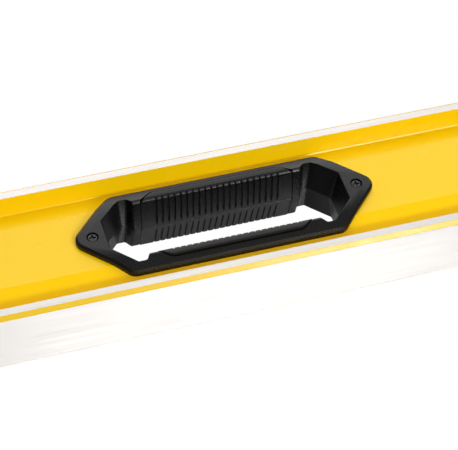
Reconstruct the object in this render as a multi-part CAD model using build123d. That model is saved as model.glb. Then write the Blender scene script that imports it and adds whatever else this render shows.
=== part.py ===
from build123d import *
import os

# A box-section spirit level. Millimetres, +Z up, X along the beam, the front web faces -Y.
# The origin is under the middle of the beam, on the lower measuring face.

os.makedirs("parts", exist_ok=True)

# ---- Driving dimensions -------------------------------------------------------------------

overall_length = 600.0
section_height = 60.0
section_depth = 31.0
end_cap_plate = 4.0
shock_pad_thickness = 4.0

corner_chamfer = 1.5         # 45 degrees, on the section's four corners
milled_band = 3.05           # bare band on each lip's front edge
panel_depth = 4.3            # raised middle panel, behind the lips' front plane
panel_half_height = 13.2
web_slope = 0.273            # the web falls away above and below the middle panel
valley_half_height = 22.5    # where the web meets the lips' inner flanks
web_wall = 2.0
face_wall = 3.0

handhold_x = 136.0
plumb_x = 265.0

flange_thickness = 2.6
flange_half_height = 19.3
handhold_tip = 61.7          # the hexagon's tip before rounding
flange_corner_radius = 5.0
handhold_cutout_tip = 58.0
cutout_half_height = 17.0

opening_half_length = 48.0
opening_diagonal = 54.6      # X + height on the opening's slanted edges
notch_half_height = 15.3
notch_inner_x = 36.4
grip_half_length = 33.6
grip_half_height = 12.2
pad_half_length = 31.0
pad_thickness = 1.5
draft_inset = 2.0            # each half of the opening narrows by this much to the middle
grip_inset = 2.8
sleeve_wall = 1.6
sleeve_gap = 0.3

pad_face_half_height = 15.8
pad_face_half_length = 26.2
pad_edge_radius = 1.2
pad_seat_depth = 2.0

screw_x = 53.1
screw_head_radius = 2.15
screw_head_height = 1.5
screw_shank_radius = 1.3
screw_length = 20.0
screw_cross_width = 0.7
counterbore_radius = 2.35
counterbore_depth = 1.9
boss_radius = 3.2

vial_radius = 7.0
barrel_middle_radius = 5.3
barrel_end_radius = 4.8
plug_radius = 3.5
ring_thickness = 0.2
ring_width = 0.6
end_rounding = 0.9           # of a bubble, as a share of its radius
running_gap = 0.3

centre_vial_height = 34.0
centre_vial_length = 40.0
centre_cavity_length = 33.0
centre_bubble_length = 9.0
centre_bubble_radius = 2.4
centre_bubble_rise = 1.9
centre_travel = 11.5
centre_tip = 41.0
centre_window_half_length = 22.0
centre_window_half_height = 10.0
centre_window_chamfer = 4.0
centre_screw_x = 33.0
top_slot_half_length = 18.0
top_slot_half_width = 6.0

plumb_vial_length = 26.0
plumb_cavity_length = 20.0
plumb_bubble_length = 7.5
plumb_bubble_radius = 3.0
plumb_travel = 11.5
plumb_window_radius = 14.8
plumb_corner_radius = 4.0

lens_thickness = 1.8
lens_setback = 0.7
lens_ledge = 0.8
cradle_half_depth = 8.2
cradle_wall = 2.0
cap_plug_length = 8.0
cap_plug_wall = 2.4
cap_setback = 0.35
cap_corner_radius = 2.0

# ---- Worked out from the above ------------------------------------------------------------

middle = section_height / 2
half_depth = section_depth / 2
beam_half_length = overall_length / 2 - end_cap_plate - shock_pad_thickness
panel_y = -(half_depth - panel_depth)
flange_y = panel_y - flange_thickness
valley_y = panel_y + web_slope * (valley_half_height - panel_half_height)
far = 2 * section_height     # longer than any cut needs


def web_y(rise):
    """Depth of the front web's outer surface, at a height above or below the middle."""
    return panel_y + web_slope * max(0.0, abs(rise) - panel_half_height)


def y_face(outline, y):
    """Flat face in the plane at depth y, from (x, z) points."""
    return Face(Wire.make_polygon([Vector(x, y, z) for x, z in outline], close=True))


def y_prism(outline, y_from, y_to):
    """Solid with an (x, z) outline, from one depth to another."""
    return extrude(y_face(outline, y_from), amount=y_to - y_from, dir=(0, 1, 0))


def x_prism(outline, x_from, x_to):
    """Solid with a (y, z) outline, from one station along the beam to another."""
    face = Face(Wire.make_polygon([Vector(x_from, y, z) for y, z in outline], close=True))
    return extrude(face, amount=x_to - x_from, dir=(1, 0, 0))


def y_loft(outline_a, y_a, outline_b, y_b):
    """Solid that runs evenly from one (x, z) outline to another one with the same corners."""
    wires = [
        Wire.make_polygon([Vector(x, y, z) for x, z in outline], close=True)
        for outline, y in ((outline_a, y_a), (outline_b, y_b))
    ]
    return Solid.make_loft(wires, ruled=True)


def y_cylinder(x, z, radius, y_from, y_to):
    """Round bar along Y."""
    bar = Cylinder(radius, abs(y_to - y_from), rotation=(90, 0, 0))
    return Pos(x, (y_from + y_to) / 2, z) * bar


def four_ways(quarter):
    """Closed outline from the points of its +x, +z quarter, listed from the x axis up."""
    upper = quarter + [(-x, z) for x, z in reversed(quarter)]
    lower = [(x, -z) for x, z in reversed(upper)]
    return upper + lower


def placed(outline, x, z):
    """The outline moved to a place on the web."""
    return [(x + px, z + pz) for px, pz in outline]


def rear(shape):
    """The same piece on the rear web."""
    return mirror(shape, about=Plane.XZ)


def write(name, shape):
    """One STEP file for one named node."""
    export_step(shape, f"parts/{name}.step")


# ---- Beam ---------------------------------------------------------------------------------

def section(lip, band_top, valley, panel, face):
    """Closed (y, z) outline of the box section, or of the hollow inside it."""
    front = [
        (lip, face),
        (lip, band_top),
        (valley, middle - valley_half_height),
        (panel, middle - panel_half_height),
    ]
    front += [(y, section_height - z) for y, z in reversed(front)]
    return front + [(-y, z) for y, z in reversed(front)]


def beam_blank():
    """The extrusion before anything is cut in it."""
    outer = x_prism(
        section(-half_depth, corner_chamfer + milled_band, valley_y, panel_y, 0.0),
        -beam_half_length,
        beam_half_length,
    )
    long_edges = outer.edges().filter_by(Axis.X)
    corners = [e for e in long_edges if abs(abs(e.center().Y) - half_depth) < 0.01]
    corners = [e for e in corners if abs(abs(e.center().Z - middle) - middle) < 0.01]
    outer = chamfer(corners, corner_chamfer)
    hollow = x_prism(
        section(
            valley_y - web_wall / 2,
            face_wall + 1.0,
            valley_y + web_wall,
            panel_y + web_wall,
            face_wall,
        ),
        -beam_half_length,
        beam_half_length,
    )
    return outer - hollow


def hexagon(tip, half_height):
    """Elongated hexagon with ends at 45 degrees."""
    corner = tip - half_height
    upper = [(tip, 0.0), (corner, half_height), (-corner, half_height)]
    return upper + [(-x, -z) for x, z in upper]


def octagon(half_width, half_height, chamfer):
    """Rectangle with its corners cut at 45 degrees."""
    return four_ways([(half_width, half_height - chamfer), (half_width - chamfer, half_height)])


def centre_window(margin):
    """The centre vial's window, made larger all round by a margin."""
    return octagon(
        centre_window_half_length + margin,
        centre_window_half_height + margin,
        centre_window_chamfer + margin * 0.586,
    )


def beam():
    """The extrusion with its cut-outs for the hand-holds and the three vial modules."""
    body = beam_blank()
    sleeve_room = sleeve_wall + sleeve_gap
    for x in (-handhold_x, handhold_x):
        cutout = placed(hexagon(handhold_cutout_tip, cutout_half_height), x, middle)
        body -= y_prism(cutout, -far, far)
    for x in (-plumb_x, plumb_x):
        body -= y_cylinder(x, middle, plumb_window_radius + sleeve_room, -far, far)
    body -= y_prism(placed(centre_window(sleeve_room), 0, centre_vial_height), -far, far)
    for x in (-centre_screw_x, centre_screw_x):
        body -= y_cylinder(x, middle, boss_radius + sleeve_gap, -far, far)
    slot = Box(2 * top_slot_half_length, 2 * top_slot_half_width, 2 * face_wall)
    return body - Pos(0, 0, section_height) * slot


# ---- Bezels: what hand-holds and vial modules have in common --------------------------------

def flange(outline, x, radius):
    """Plate that follows the front web, with the outline's corners rounded."""
    reach = valley_half_height
    web = [(web_y(rise), middle + rise) for rise in
           (-reach, -panel_half_height, panel_half_height, reach)]
    face = [(y - flange_thickness, z) for y, z in reversed(web)]
    plate = x_prism(web + face, x - far, x + far)
    blank = y_face(placed(outline, x, middle), -far)
    blank = blank.fillet_2d(radius, blank.vertices())
    return plate & extrude(blank, amount=far, dir=(0, 1, 0))


def screw(x):
    """Pan-head screw along Y, sunk into the front flange."""
    top = flange_y + counterbore_depth - screw_head_height
    head = y_cylinder(x, middle, screw_head_radius, top, top + screw_head_height)
    rim = head.edges().filter_by(GeomType.CIRCLE).sort_by(Axis.Y)[0]
    head = fillet(rim, screw_head_height * 0.4)
    shank = y_cylinder(x, middle, screw_shank_radius, top + screw_head_height, top + screw_length)
    arm = 2 * screw_head_radius * 0.62
    for size in ((arm, screw_cross_width), (screw_cross_width, arm)):
        head -= Pos(x, top, middle) * Box(size[0], screw_head_height, size[1])
    return head + shank


def screw_pair(x, half_spacing):
    """The two screws of one module, as separate solids of one group."""
    return screw(x - half_spacing) + screw(x + half_spacing)


def front_boss(x):
    """Boss that carries a screw from the front flange to the middle of the beam."""
    return y_cylinder(x, middle, boss_radius, panel_y, 0.0)


def front_screw_hole(x):
    """Counterbore and clearance hole for a screw."""
    sink = y_cylinder(x, middle, counterbore_radius, -far, flange_y + counterbore_depth)
    return sink + y_cylinder(x, middle, screw_shank_radius + 0.2, -far, far)


# ---- Hand-holds -----------------------------------------------------------------------------

def opening(inset, grip_narrowing, recess):
    """Outline of the hand-hold's opening. The recess makes room for the soft inlays."""
    notch = notch_half_height - inset
    grip = grip_half_height - grip_narrowing
    return four_ways([
        (opening_half_length - inset, opening_diagonal - opening_half_length - inset * 0.414),
        (opening_diagonal - notch_half_height - inset * 0.414, notch),
        (notch_inner_x, notch),
        (grip_half_length, grip),
        (pad_half_length, grip),
        (pad_half_length, grip + recess),
    ])


def opening_space(x, recess):
    """The front half of the opening, narrowing from the flange to the middle of the beam."""
    at_face = opening(0.0, 0.0, recess)
    at_middle = opening(draft_inset, grip_inset, recess)
    space = y_loft(
        placed(at_face, x, middle), flange_y, placed(at_middle, x, middle), 0.0
    )
    return space + y_prism(placed(at_face, x, middle), -half_depth, flange_y)


def grip_pad(x, side):
    """Soft inlay for one edge of the opening: a strip in the bore, turned over the flange.

    Its face is upright, so that its outer edge stands a little above the sloping flange.
    """
    profile = [
        (flange_y + pad_edge_radius, grip_half_height),
        (flange_y, grip_half_height + pad_edge_radius),
        (flange_y, pad_face_half_height),
        (flange_y + pad_seat_depth, pad_face_half_height),
        (flange_y + pad_seat_depth, grip_half_height + pad_thickness),
        (0.0, grip_half_height - grip_inset + pad_thickness),
        (0.0, grip_half_height - grip_inset),
    ]
    strip = x_prism(
        [(y, middle + side * rise) for y, rise in profile],
        x - pad_half_length,
        x + pad_half_length,
    )
    outline = [
        (pad_half_length, 0.0),
        (pad_half_length, side * grip_half_height),
        (pad_face_half_length, side * pad_face_half_height),
    ]
    outline += [(-px, pz) for px, pz in reversed(outline)]
    return strip & y_prism(placed(outline, x, middle), -half_depth, 0.0)


def handhold_blank(x):
    """Front half of a hand-hold before the screws and inlays are let into it."""
    plate = flange(hexagon(handhold_tip, flange_half_height), x, flange_corner_radius)
    sleeve = octagon(
        opening_half_length + sleeve_wall,
        notch_half_height + sleeve_wall - 0.2,
        notch_half_height + opening_half_length - opening_diagonal + sleeve_wall * 0.586,
    )
    shell = plate + y_prism(placed(sleeve, x, middle), panel_y - 0.5, 0.0)
    for side in (-1, 1):
        shell += front_boss(x + side * screw_x)
    return shell - opening_space(x, 0.0)


def handhold(name, x):
    """All the pieces of one hand-hold."""
    blank = handhold_blank(x)
    pads = {"upper": grip_pad(x, 1), "lower": grip_pad(x, -1)}
    for pad in pads.values():
        blank -= pad
    front = blank
    back = rear(blank)
    for side in (-1, 1):
        front -= front_screw_hole(x + side * screw_x)
        pilot = y_cylinder(x + side * screw_x, middle, screw_shank_radius, 0.0, half_depth / 2)
        back -= pilot
    write(f"{name}_handhold_front_shell", front)
    write(f"{name}_handhold_rear_shell", back)
    for place, pad in pads.items():
        write(f"{name}_handhold_front_{place}_grip", pad)
        write(f"{name}_handhold_rear_{place}_grip", rear(pad))
    write(f"{name}_handhold_screws", screw_pair(x, screw_x))


# ---- Vials ----------------------------------------------------------------------------------

def capsule(half_length, radius):
    """Bar along X with well-rounded ends."""
    bar = Cylinder(radius, 2 * half_length, rotation=(0, 90, 0))
    return fillet(bar.edges().filter_by(GeomType.CIRCLE), radius * end_rounding)


def vial(length, cavity_length, bubble_length, bubble_radius, rise, travel_low, travel_high):
    """Vial along X, centred on the origin: body, plug, liquid, bubble at rest, reading rings."""
    end = cavity_length / 2
    profile = Polyline((end, barrel_end_radius), (end, 0), (-end, 0), (-end, barrel_end_radius))
    profile += ThreePointArc(
        (-end, barrel_end_radius),
        (0, barrel_middle_radius),
        (end, barrel_end_radius),
    )
    cavity = revolve(make_face(profile), Axis.X)
    tube = Cylinder(vial_radius, length, rotation=(0, 90, 0))
    plug_length = (length - cavity_length) / 2
    plug = Cylinder(plug_radius, plug_length, rotation=(0, 90, 0))
    plug = Pos(end + plug_length / 2, 0, 0) * plug
    body = tube - cavity - plug

    bubble = Pos(0, 0, rise) * capsule(bubble_length / 2, bubble_radius)
    reach = (travel_high - travel_low + bubble_length) / 2 + running_gap
    path = capsule(reach, bubble_radius + running_gap)
    liquid = cavity - Pos((travel_low + travel_high) / 2, 0, rise) * path

    ring = Cylinder(vial_radius + ring_thickness, ring_width, rotation=(0, 90, 0))
    ring -= Cylinder(vial_radius, 2 * ring_width, rotation=(0, 90, 0))
    ring_x = bubble_length / 2 + ring_width
    rings = Pos(-ring_x, 0, 0) * ring + Pos(ring_x, 0, 0) * ring
    return {
        "vial": body,
        "filling_plug": plug,
        "liquid": liquid,
        "bubble": bubble,
        "reading_rings": rings,
    }


def centre_module():
    """Level vial in the middle, read from both sides and from above."""
    z = centre_vial_height
    sleeve = placed(centre_window(sleeve_wall), 0, z)
    opened = placed(centre_window(0.0), 0, z)
    lens_front = flange_y + lens_setback
    rebate = y_prism(placed(centre_window(lens_ledge), 0, z), -far, lens_front + lens_thickness)
    half = flange(hexagon(centre_tip, flange_half_height), 0, flange_corner_radius)
    half += y_prism(sleeve, panel_y - 0.5, 0.0)
    for x in (-centre_screw_x, centre_screw_x):
        half += front_boss(x)
    half -= y_prism(opened, -far, 0.0)
    half -= rebate
    light_well = Box(2 * top_slot_half_length, 2 * top_slot_half_width, section_height)
    half -= Pos(0, 0, z + section_height / 2) * light_well
    back = rear(half)
    front = half
    for x in (-centre_screw_x, centre_screw_x):
        front -= front_screw_hole(x)
        back -= y_cylinder(x, middle, screw_shank_radius, 0.0, half_depth / 2)
    write("centre_front_bezel", front)
    write("centre_rear_bezel", back)

    lens = y_prism(
        placed(centre_window(lens_ledge), 0, z), lens_front, lens_front + lens_thickness
    )
    write("centre_front_lens", lens)
    write("centre_rear_lens", rear(lens))
    top_lens = Box(2 * top_slot_half_length, 2 * top_slot_half_width, face_wall - lens_setback)
    write("centre_top_lens", Pos(0, 0, section_height - (face_wall + lens_setback) / 2) * top_lens)

    cradle = y_prism(placed(centre_window(0.0), 0, z), -cradle_half_depth, cradle_half_depth)
    window = centre_window(-cradle_wall)
    cradle -= y_prism(placed(window, 0, z), -far, far)
    cradle -= Pos(0, 0, z + section_height / 2) * light_well
    for side in (-1, 1):
        block = Box(cradle_wall, 2 * cradle_half_depth, centre_window_half_height)
        cradle += Pos(side * (centre_window_half_length - cradle_wall * 1.2), 0, z) * block
    vial_bore = Cylinder(vial_radius, centre_vial_length, rotation=(0, 90, 0))
    cradle -= Pos(0, 0, z) * vial_bore
    write("centre_cradle", cradle)

    parts = vial(
        centre_vial_length,
        centre_cavity_length,
        centre_bubble_length,
        centre_bubble_radius,
        centre_bubble_rise,
        -centre_travel,
        centre_travel,
    )
    for name, shape in parts.items():
        write(f"centre_{name}", Pos(0, 0, z) * shape)
    write("centre_screws", screw_pair(0, centre_screw_x))


def plumb_module(name, x):
    """Plumb vial near one end, its axis upright while the beam lies level."""
    lens_front = flange_y + lens_setback
    chamfer = flange_half_height * 0.586
    half = flange(octagon(flange_half_height, flange_half_height, chamfer), x, plumb_corner_radius)
    half += y_cylinder(x, middle, plumb_window_radius + sleeve_wall, panel_y - 0.5, 0.0)
    half -= y_cylinder(x, middle, plumb_window_radius, -far, 0.0)
    rebate_radius = plumb_window_radius + lens_ledge
    half -= y_cylinder(x, middle, rebate_radius, -far, lens_front + lens_thickness)
    write(f"{name}_plumb_front_bezel", half)
    write(f"{name}_plumb_rear_bezel", rear(half))

    lens = y_cylinder(x, middle, rebate_radius, lens_front, lens_front + lens_thickness)
    write(f"{name}_plumb_front_lens", lens)
    write(f"{name}_plumb_rear_lens", rear(lens))

    upright = Pos(x, 0, middle) * Rot(0, -90, 0)
    top_bubble = plumb_travel / 2
    parts = vial(
        plumb_vial_length,
        plumb_cavity_length,
        plumb_bubble_length,
        plumb_bubble_radius,
        0.0,
        -plumb_travel / 2,
        plumb_travel / 2,
    )
    parts["bubble"] = Pos(top_bubble, 0, 0) * parts["bubble"]
    for part_name, shape in parts.items():
        write(f"{name}_plumb_{part_name}", upright * shape)

    cradle = y_cylinder(x, middle, plumb_window_radius, -cradle_half_depth, cradle_half_depth)
    cradle -= y_cylinder(x, middle, plumb_window_radius - cradle_wall, -far, far)
    shoe_length = cradle_wall * 1.5
    shoe_rise = plumb_vial_length / 2 - cradle_wall * 0.6 - shoe_length / 2
    for side in (-1, 1):
        shoe = Cylinder(vial_radius + cradle_wall / 2, shoe_length)
        cradle += Pos(x, 0, middle + side * shoe_rise) * shoe
    cradle -= Pos(x, 0, middle) * Cylinder(vial_radius, plumb_vial_length)
    write(f"{name}_plumb_cradle", cradle)


# ---- End caps -------------------------------------------------------------------------------

def end_cap(name, side):
    """Plate over the beam's end with a hollow plug pushed into it, and a rubber pad outside."""
    outline = RectangleRounded(
        section_depth - 2 * cap_setback,
        section_height - 2 * cap_setback,
        cap_corner_radius,
    )
    place = Plane(origin=(side * beam_half_length, 0, middle), x_dir=(0, 1, 0), z_dir=(side, 0, 0))
    plate = extrude(place * outline, amount=end_cap_plate)
    plug_half_depth = -(valley_y + web_wall) - sleeve_gap
    plug_half_height = valley_half_height - sleeve_gap
    plug = Rectangle(2 * plug_half_depth, 2 * plug_half_height)
    plug -= Rectangle(
        2 * (plug_half_depth - cap_plug_wall), 2 * (plug_half_height - cap_plug_wall)
    )
    plate += extrude(place * plug, amount=-cap_plug_length)
    write(f"{name}_end_cap", plate)

    pad = extrude(place.offset(end_cap_plate) * outline, amount=shock_pad_thickness)
    outer_face = pad.faces().sort_by(Axis.X)[-1 if side > 0 else 0]
    pad = chamfer(outer_face.edges(), shock_pad_thickness * 0.35)
    write(f"{name}_shock_pad", pad)


# ---- Everything -----------------------------------------------------------------------------

write("beam", beam())
for side_name, sign in (("left", -1), ("right", 1)):
    handhold(side_name, sign * handhold_x)
    plumb_module(side_name, sign * plumb_x)
    end_cap(side_name, sign)
centre_module()
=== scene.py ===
"""Spirit level: the looks of a 600 mm box-section level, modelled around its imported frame."""

import math

import bmesh
import bpy
from bpy.props import FloatProperty, FloatVectorProperty, IntProperty, PointerProperty
from mathutils import Matrix, Vector


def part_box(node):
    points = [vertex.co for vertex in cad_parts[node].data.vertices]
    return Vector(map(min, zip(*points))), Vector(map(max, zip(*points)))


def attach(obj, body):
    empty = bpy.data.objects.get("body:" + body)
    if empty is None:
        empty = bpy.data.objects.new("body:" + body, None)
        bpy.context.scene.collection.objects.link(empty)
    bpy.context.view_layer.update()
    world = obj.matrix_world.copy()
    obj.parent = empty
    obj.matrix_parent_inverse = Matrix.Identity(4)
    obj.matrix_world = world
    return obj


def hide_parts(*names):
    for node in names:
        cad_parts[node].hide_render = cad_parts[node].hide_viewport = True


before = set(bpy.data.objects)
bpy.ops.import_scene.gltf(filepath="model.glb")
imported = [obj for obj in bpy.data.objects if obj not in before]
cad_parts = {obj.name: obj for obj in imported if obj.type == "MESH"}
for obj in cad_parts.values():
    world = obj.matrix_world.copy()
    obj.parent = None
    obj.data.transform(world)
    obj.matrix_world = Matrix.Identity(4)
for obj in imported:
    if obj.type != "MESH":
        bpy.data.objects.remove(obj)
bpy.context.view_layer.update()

bl_info = {
    "name": "Box-Section Spirit Level",
    "version": (1, 0, 0),
    "blender": (4, 5, 0),
    "location": "View3D > Sidebar > Level",
    "description": "Builds a box-section spirit level with hand-holds, vials and end caps",
    "category": "Add Mesh",
}

MM = 0.001

# Places that the frame gives.
BEAM_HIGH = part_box("beam")[1]
HALF_DEPTH = BEAM_HIGH.y
BEAM_END = BEAM_HIGH.x
TOP = BEAM_HIGH.z
MIDDLE = TOP / 2
FLANGE_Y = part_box("right_handhold_front_shell")[0].y


def node_centre(node):
    """Middle of a frame node's box."""
    low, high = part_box(node)
    return (low + high) / 2


HANDHOLD_X = node_centre("right_handhold_front_shell").x
PLUMB_X = node_centre("right_plumb_front_bezel").x
CENTRE_VIAL_Z = node_centre("centre_vial").z

REARWARDS = Matrix.Scale(-1, 4, (0, 1, 0))

# Small sizes that several pieces share.
FLANGE_CORNER = 5.0 * MM  # rounding of the flanges' corners
SLEEVE_ROOT = 0.5 * MM  # how far a sleeve starts inside its flange
SCREW_SINK = 1.9 * MM  # depth of a screw's counterbore
PLATE_CORNER = 2.0 * MM  # rounding of the end caps and shock pads
LENS_PLAY = 0.05 * MM  # gap round a lens
OVERRUN = 2.0 * MM  # how far a bore's cutter runs past the middle of the beam
FLOOR_SIZE = 60.0  # metres, so that its edge is out of sight

# Where a side meets a cut at 45 degrees, an offset moves the corner along the side by
# CORNER_SHIFT times as much, and the cut reaches CUT_GROWTH times as much further.
CORNER_SHIFT = 0.414  # tangent of 22.5 degrees
CUT_GROWTH = 1 - CORNER_SHIFT

# Softboxes: name, place from the camera's target and size in metres, watts.
SOFTBOXES = (
    ("front upper softbox", (0.3, -0.95, 1.45), 1.6, 18.5),
    ("rear upper softbox", (-0.3, 0.5, 1.7), 1.4, 9.25),
    ("rear fill", (-0.4, 1.4, 0.7), 1.4, 9.25),
    ("front lower softbox", (0.45, -1.3, -0.95), 2.2, 18.2),
    ("rear lower softbox", (0.31, 1.1, -0.92), 0.75, 7.15),
    ("key light", (0.46, -0.78, -1.08), 0.22, 6.75),
)


# ---- Settings -----------------------------------------------------------------------------

def linear(hex_colour):
    """Linear RGB of an sRGB hex colour such as #FCC800."""
    channels = [int(hex_colour[i:i + 2], 16) / 255 for i in (1, 3, 5)]
    return tuple(c / 12.92 if c <= 0.04045 else ((c + 0.055) / 1.055) ** 2.4 for c in channels)


def length(name, description, millimetres):
    """A length property, given in millimetres."""
    return FloatProperty(
        name=name, description=description, default=millimetres * MM, min=0.0, unit="LENGTH",
        precision=5,
    )


def colour(name, description, hex_colour):
    """A colour property."""
    return FloatVectorProperty(
        name=name, description=description, default=linear(hex_colour), subtype="COLOR",
        min=0.0, max=1.0,
    )


class LevelSizes(bpy.types.PropertyGroup):
    """Sizes of the extrusion, the hand-holds and the vial modules."""

    corner_chamfer: length("Corner chamfer", "Bevel on the section's four corners", 1.5)
    milled_band: length("Milled band", "Bare band on each lip's front edge", 3.05)
    panel_half: length("Panel half height", "Half of the raised middle panel", 13.2)
    valley_half: length("Valley half height", "Where the web meets the lips' flanks", 22.5)
    section_edge: length("Section edge", "Rounding of the lips, half that of the bends", 0.25)
    web_wall: length("Web wall", "Thickness of the webs", 2.0)
    cutout_tip: length("Cut-out tip", "Half length of the hand-holds' cut-outs", 58.0)
    cutout_half: length("Cut-out half height", "Half height of the hand-holds' cut-outs", 17.0)
    face_wall: length("Face wall", "Thickness under the measuring faces", 3.0)
    web_slope: FloatProperty(
        name="Web slope", description="Fall of the web beyond the middle panel", default=0.273
    )
    flange: length("Flange thickness", "Bezel flanges on the web", 2.6)
    flange_half: length("Flange half height", "Half height of all the flanges", 19.3)
    flange_chamfer: length("Flange chamfer", "Bevel round the flanges' outer edge", 0.9)
    handhold_tip: length("Hand-hold tip", "Hand-hold's half length before rounding", 61.7)
    opening_half: length("Opening half length", "Half of the hand-hold's opening", 48.0)
    opening_diagonal: length("Opening diagonal", "Length plus height on slanted edges", 54.6)
    notch_half: length("Notch half height", "Half height at the finger notches", 15.3)
    notch_x: length("Notch side", "Where a finger notch turns down to the grip", 35.9)
    grip_half: length("Grip half height", "Half height between the grips, at the face", 12.2)
    grip_x: length("Grip half length", "Half length of the raised grip bars", 34.2)
    draft: length("Draft", "How much the opening narrows to the middle of the beam", 2.0)
    grip_draft: length("Grip draft", "How much the grips close in to the middle", 2.8)
    rim: length("Rim radius", "Rounding round the opening", 0.5)
    grip_rim: length("Grip rim radius", "Rounding where the grips turn into the bore", 1.8)
    pad_rise: length("Inlay rise", "How far the soft inlays stand over the flange", 0.08)
    pad_gap: length("Inlay gap", "Open joint at the upper inlays, half that at the lower", 0.9)
    pad_half: length("Inlay half length", "Soft inlay's half length in the bore", 31.0)
    pad_face_half: length("Inlay face half length", "Half length on the flange", 26.2)
    pad_top: length("Inlay top", "Inlay's outer edge on the flange", 15.8)
    pad_wall: length("Inlay thickness", "Thickness of the soft inlay", 1.5)
    pad_seat: length("Inlay seat", "Depth of the inlay's outer edge in the flange", 2.0)
    seam_bevel: length("Seam bevel", "Bevel where the front and rear inlays meet", 0.35)
    groove_pitch: length("Groove pitch", "Spacing of the grip grooves", 2.475)
    groove_half: length("Groove half width", "Half width of the grip grooves", 0.43)
    groove_depth: length("Groove depth", "Depth of the grip grooves", 0.5)
    groove_start: length("Groove start", "First groove end, behind the inlay's face", 0.55)
    groove_end: length("Groove end", "Last groove end, behind the inlay's face", 11.4)
    groove_count: IntProperty(
        name="Grooves", description="Grooves in each soft inlay", default=21, min=1
    )
    screw_x: length("Screw offset", "Hand-hold screws from the middle", 53.1)
    counterbore: length("Counterbore radius", "Recess for a screw's head", 2.35)
    sleeve: length("Sleeve wall", "Wall of the sleeves through the beam", 1.6)
    window_half: length("Window half length", "Centre vial's window", 22.0)
    window_rise: length("Window half height", "Centre vial's window", 10.0)
    window_chamfer: length("Window corner", "Cut corners of the centre window", 4.0)
    centre_tip: length("Centre bezel tip", "Centre bezel's half length before rounding", 41.0)
    centre_screw_x: length("Centre screw offset", "Centre bezel's screws", 33.0)
    plumb_window: length("Plumb window radius", "Round window of the plumb vials", 14.8)


class LevelColours(bpy.types.PropertyGroup):
    """Colours of the finishes."""

    coat: colour("Powder coat", "Yellow coat of the extrusion", "#FFD000")
    milled: colour("Milled aluminium", "Bare milled faces", "#D4D1CE")
    nylon: colour("Black nylon", "Hand-hold shells and bezels", "#101010")
    elastomer: colour("Soft grip", "Soft inlays of the hand-holds", "#101010")
    zinc: colour("Black zinc", "Screws", "#4A4A4B")
    clear: colour("Clear plastic", "Lenses and vial bodies", "#F4FAF8")
    liquid: colour("Vial liquid", "Tinted spirit in the vials", "#C9E83A")
    white: colour("White ABS", "Vial cradles", "#E9EBE8")
    ink: colour("Ring ink", "Reading rings", "#101010")
    rubber: colour("Rubber", "Shock pads", "#191919")
    floor: colour("Floor", "Studio floor", "#F2F2F0")


class StudioSettings(bpy.types.PropertyGroup):
    """Camera and light."""

    azimuth: FloatProperty(name="Azimuth", description="Camera heading", default=16.55)
    elevation: FloatProperty(name="Elevation", description="Camera height", default=-36.1)
    roll: FloatProperty(name="Roll", description="Camera roll", default=21.66)
    distance: length("Distance", "Camera to target", 684.5)
    focal: FloatProperty(name="Focal length", description="Camera lens, mm", default=141.5)
    target_x: length("Target offset", "Camera target left of the hand-hold's middle", 1.93)
    target_z: length("Target height", "Camera target above the measuring face", 21.2)
    floor_drop: length("Floor drop", "Floor under the level, below every camera", 2700.0)
    world: FloatProperty(name="Room light", description="Light from all round", default=0.3)
    power: FloatProperty(
        name="Softbox power", description="Share of each softbox's full power", default=1.0
    )


def sizes():
    """Sizes as the user has them."""
    return bpy.context.scene.level_sizes


def colours():
    """Colours as the user has them."""
    return bpy.context.scene.level_colours


# ---- Modelling helpers --------------------------------------------------------------------

def fresh():
    """Object mode, nothing selected."""
    if bpy.context.object and bpy.context.object.mode != "OBJECT":
        bpy.ops.object.mode_set(mode="OBJECT")
    bpy.ops.object.select_all(action="DESELECT")


def activate(obj):
    """Only this object selected and active."""
    fresh()
    obj.select_set(True)
    bpy.context.view_layer.objects.active = obj


def edit(obj, mode="FACE"):
    """Edit mode on one object, everything selected."""
    activate(obj)
    bpy.ops.object.mode_set(mode="EDIT")
    bpy.ops.mesh.select_mode(type=mode)
    bpy.ops.mesh.select_all(action="SELECT")


def done():
    """Back to object mode."""
    bpy.ops.object.mode_set(mode="OBJECT")


def point(axis, along, u, v):
    """The point (u, v) of an outline drawn across an axis."""
    return {"X": (along, u, v), "Y": (u, along, v), "Z": (u, v, along)}[axis]


def tower(name, axis, stations):
    """Closed solid through outlines with the same number of corners, each at a place on an axis."""
    fresh()
    start, outline = stations[0]
    bpy.ops.mesh.primitive_circle_add(vertices=len(outline), fill_type="NGON")
    obj = bpy.context.object
    obj.name = name
    for vertex, (u, v) in zip(obj.data.vertices, outline):
        vertex.co = point(axis, start, u, v)
    edit(obj)
    ring = list(range(len(outline)))
    for end, outline in stations[1:]:
        bpy.ops.mesh.extrude_region_move()
        shape = bmesh.from_edit_mesh(obj.data)
        shape.verts.index_update()
        shape.verts.ensure_lookup_table()
        ends = []
        for index, (u, v) in zip(ring, outline):
            corner = shape.verts[index]
            ahead = (link.other_vert(corner) for link in corner.link_edges)
            moved = next(other for other in ahead if other.select)
            moved.co = point(axis, end, u, v)
            ends.append(moved.index)
        ring = ends
        bmesh.update_edit_mesh(obj.data)
    bpy.ops.mesh.select_all(action="SELECT")
    bpy.ops.mesh.normals_make_consistent(inside=False)
    done()
    return obj


def prism(name, axis, outline, start, end):
    """Outline pushed straight from one place to another along an axis."""
    return tower(name, axis, [(start, outline), (end, outline)])


def circle(radius, corners, u=0.0, v=0.0):
    """Round outline about the point (u, v)."""
    ring = [math.tau * (k + 0.5) / corners for k in range(corners)]
    return [(u + radius * math.cos(t), v + radius * math.sin(t)) for t in ring]


def y_rod(name, x, z, radius, start, end, corners=48):
    """Round bar along Y."""
    return prism(name, "Y", circle(radius, corners, x, z), start, end)


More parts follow.
